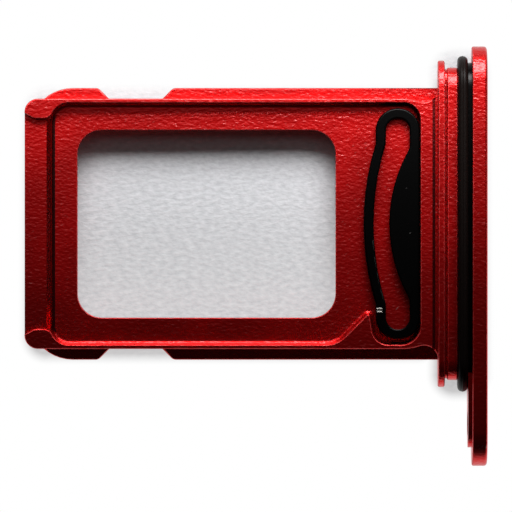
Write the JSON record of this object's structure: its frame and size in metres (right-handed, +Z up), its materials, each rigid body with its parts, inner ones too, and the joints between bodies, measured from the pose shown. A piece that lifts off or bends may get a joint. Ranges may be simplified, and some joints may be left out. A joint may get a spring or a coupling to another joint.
{
  "type": "sim card tray",
  "caption": "Flat metal phone card tray with a keyed card pocket, contact window, sprung card retainer, rubber seal and a rounded front plate with an eject pinhole.",
  "frame": {"origin": "under the middle of the bounding box, at the height of the front plate's lowest edge", "axes": "+X out through the front plate, along the way the tray slides; +Y along the front plate, away from the eject pinhole; +Z up out of the card pocket"},
  "size_m": [0.0172, 0.0156, 0.0024],
  "materials": {
    "tray_body": "bead-blasted, red anodised",
    "card_retainer": "moulded, fine texture",
    "seal_ring": "satin"
  },
  "bodies": {
    "root": {"tray_body": "tray_body", "card_retainer": "card_retainer", "seal_ring": "seal_ring"}
  },
  "joints": []
}
